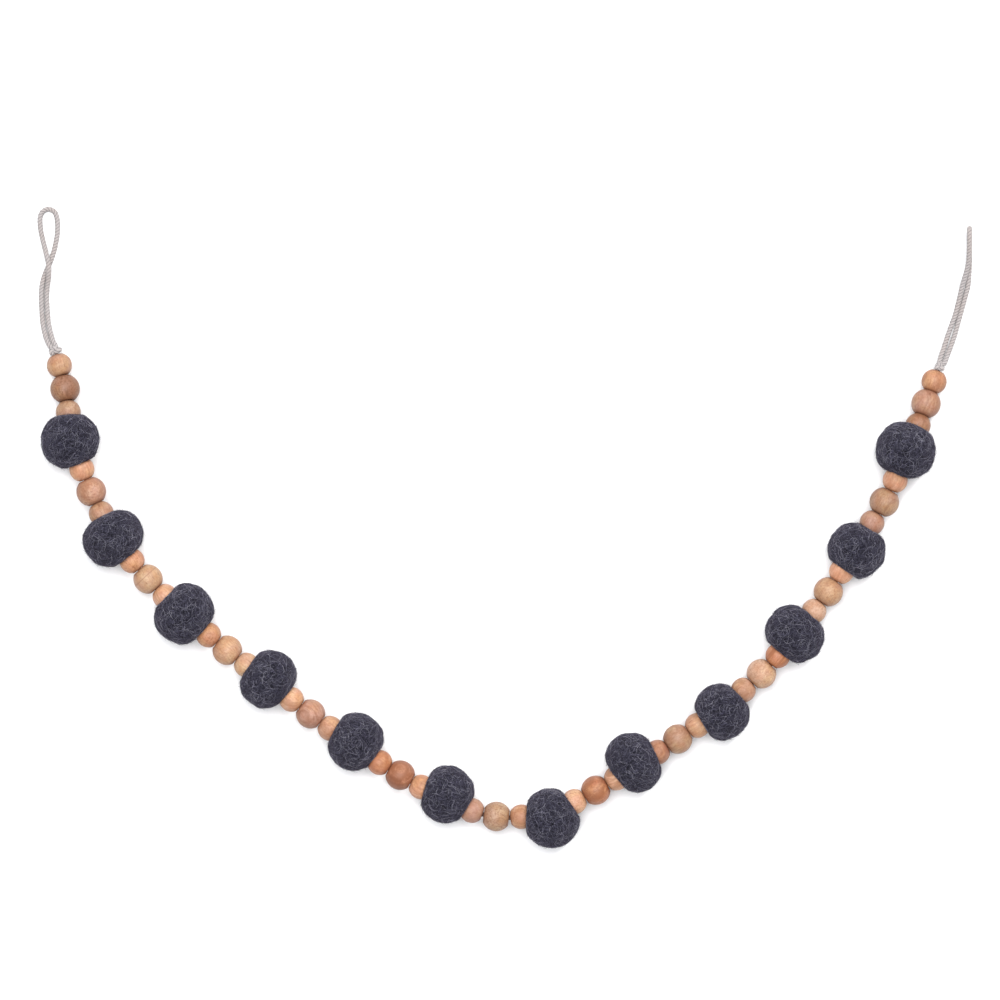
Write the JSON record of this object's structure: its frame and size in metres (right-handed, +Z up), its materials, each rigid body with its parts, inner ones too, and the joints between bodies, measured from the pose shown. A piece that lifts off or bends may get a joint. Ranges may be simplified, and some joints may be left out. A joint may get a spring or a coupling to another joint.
{
  "type": "felt ball garland",
  "caption": "Garland of dark felt balls with turned wooden beads between them on a twisted cord, with a hanging loop at both ends, lying in a loose curve.",
  "frame": {"origin": "on the surface that the garland lies on, under the middle of its beads, balls and knots", "axes": "+Z up from the surface, +Y towards the hanging loops, +X from the left end to the right end"},
  "size_m": [0.4778, 0.3266, 0.0313],
  "materials": {
    "felt": "matt wool felt with pale fibres",
    "cord": "matt twisted cotton",
    "wood_pale": "smooth, soft sheen",
    "wood_peach": "smooth, soft sheen",
    "wood_orange": "smooth, soft sheen",
    "wood_tan": "smooth, soft sheen",
    "wood_rose": "smooth, soft sheen",
    "wood_brown": "smooth, soft sheen"
  },
  "bodies": {
    "root": {"felt_ball_01": "felt", "felt_ball_02": "felt", "felt_ball_03": "felt", "felt_ball_04": "felt", "felt_ball_05": "felt", "felt_ball_06": "felt", "felt_ball_07": "felt", "felt_ball_08": "felt", "felt_ball_09": "felt", "felt_ball_10": "felt", "felt_ball_11": "felt", "felt_ball_12": "felt", "bead_large_01": "wood_brown", "bead_small_01": "wood_tan", "bead_small_02": "wood_peach", "bead_large_02": "wood_rose", "bead_small_03": "wood_orange", "bead_small_04": "wood_peach", "bead_large_03": "wood_pale", "bead_small_05": "wood_orange", "bead_small_06": "wood_peach", "bead_large_04": "wood_tan", "bead_small_07": "wood_orange", "bead_small_08": "wood_pale", "bead_large_05": "wood_rose", "bead_small_09": "wood_peach", "bead_small_10": "wood_peach", "bead_large_06": "wood_brown", "bead_small_11": "wood_orange", "bead_small_12": "wood_pale", "bead_large_07": "wood_pale", "bead_small_13": "wood_rose", "bead_small_14": "wood_orange", "bead_large_08": "wood_orange", "bead_small_15": "wood_peach", "bead_small_16": "wood_tan", "bead_large_09": "wood_tan", "bead_small_17": "wood_rose", "bead_small_18": "wood_peach", "bead_large_10": "wood_pale", "bead_small_19": "wood_peach", "bead_small_20": "wood_orange", "bead_large_11": "wood_tan", "bead_small_21": "wood_pale", "bead_small_22": "wood_orange", "bead_large_12": "wood_tan", "bead_small_23": "wood_rose", "bead_small_24": "wood_orange", "bead_large_13": "wood_rose", "bead_small_25": "wood_orange", "bead_small_26": "wood_orange", "cord_threaded": "cord", "knot_left": "cord", "knot_right": "cord", "loop_left": "cord", "loop_right": "cord"}
  },
  "joints": []
}
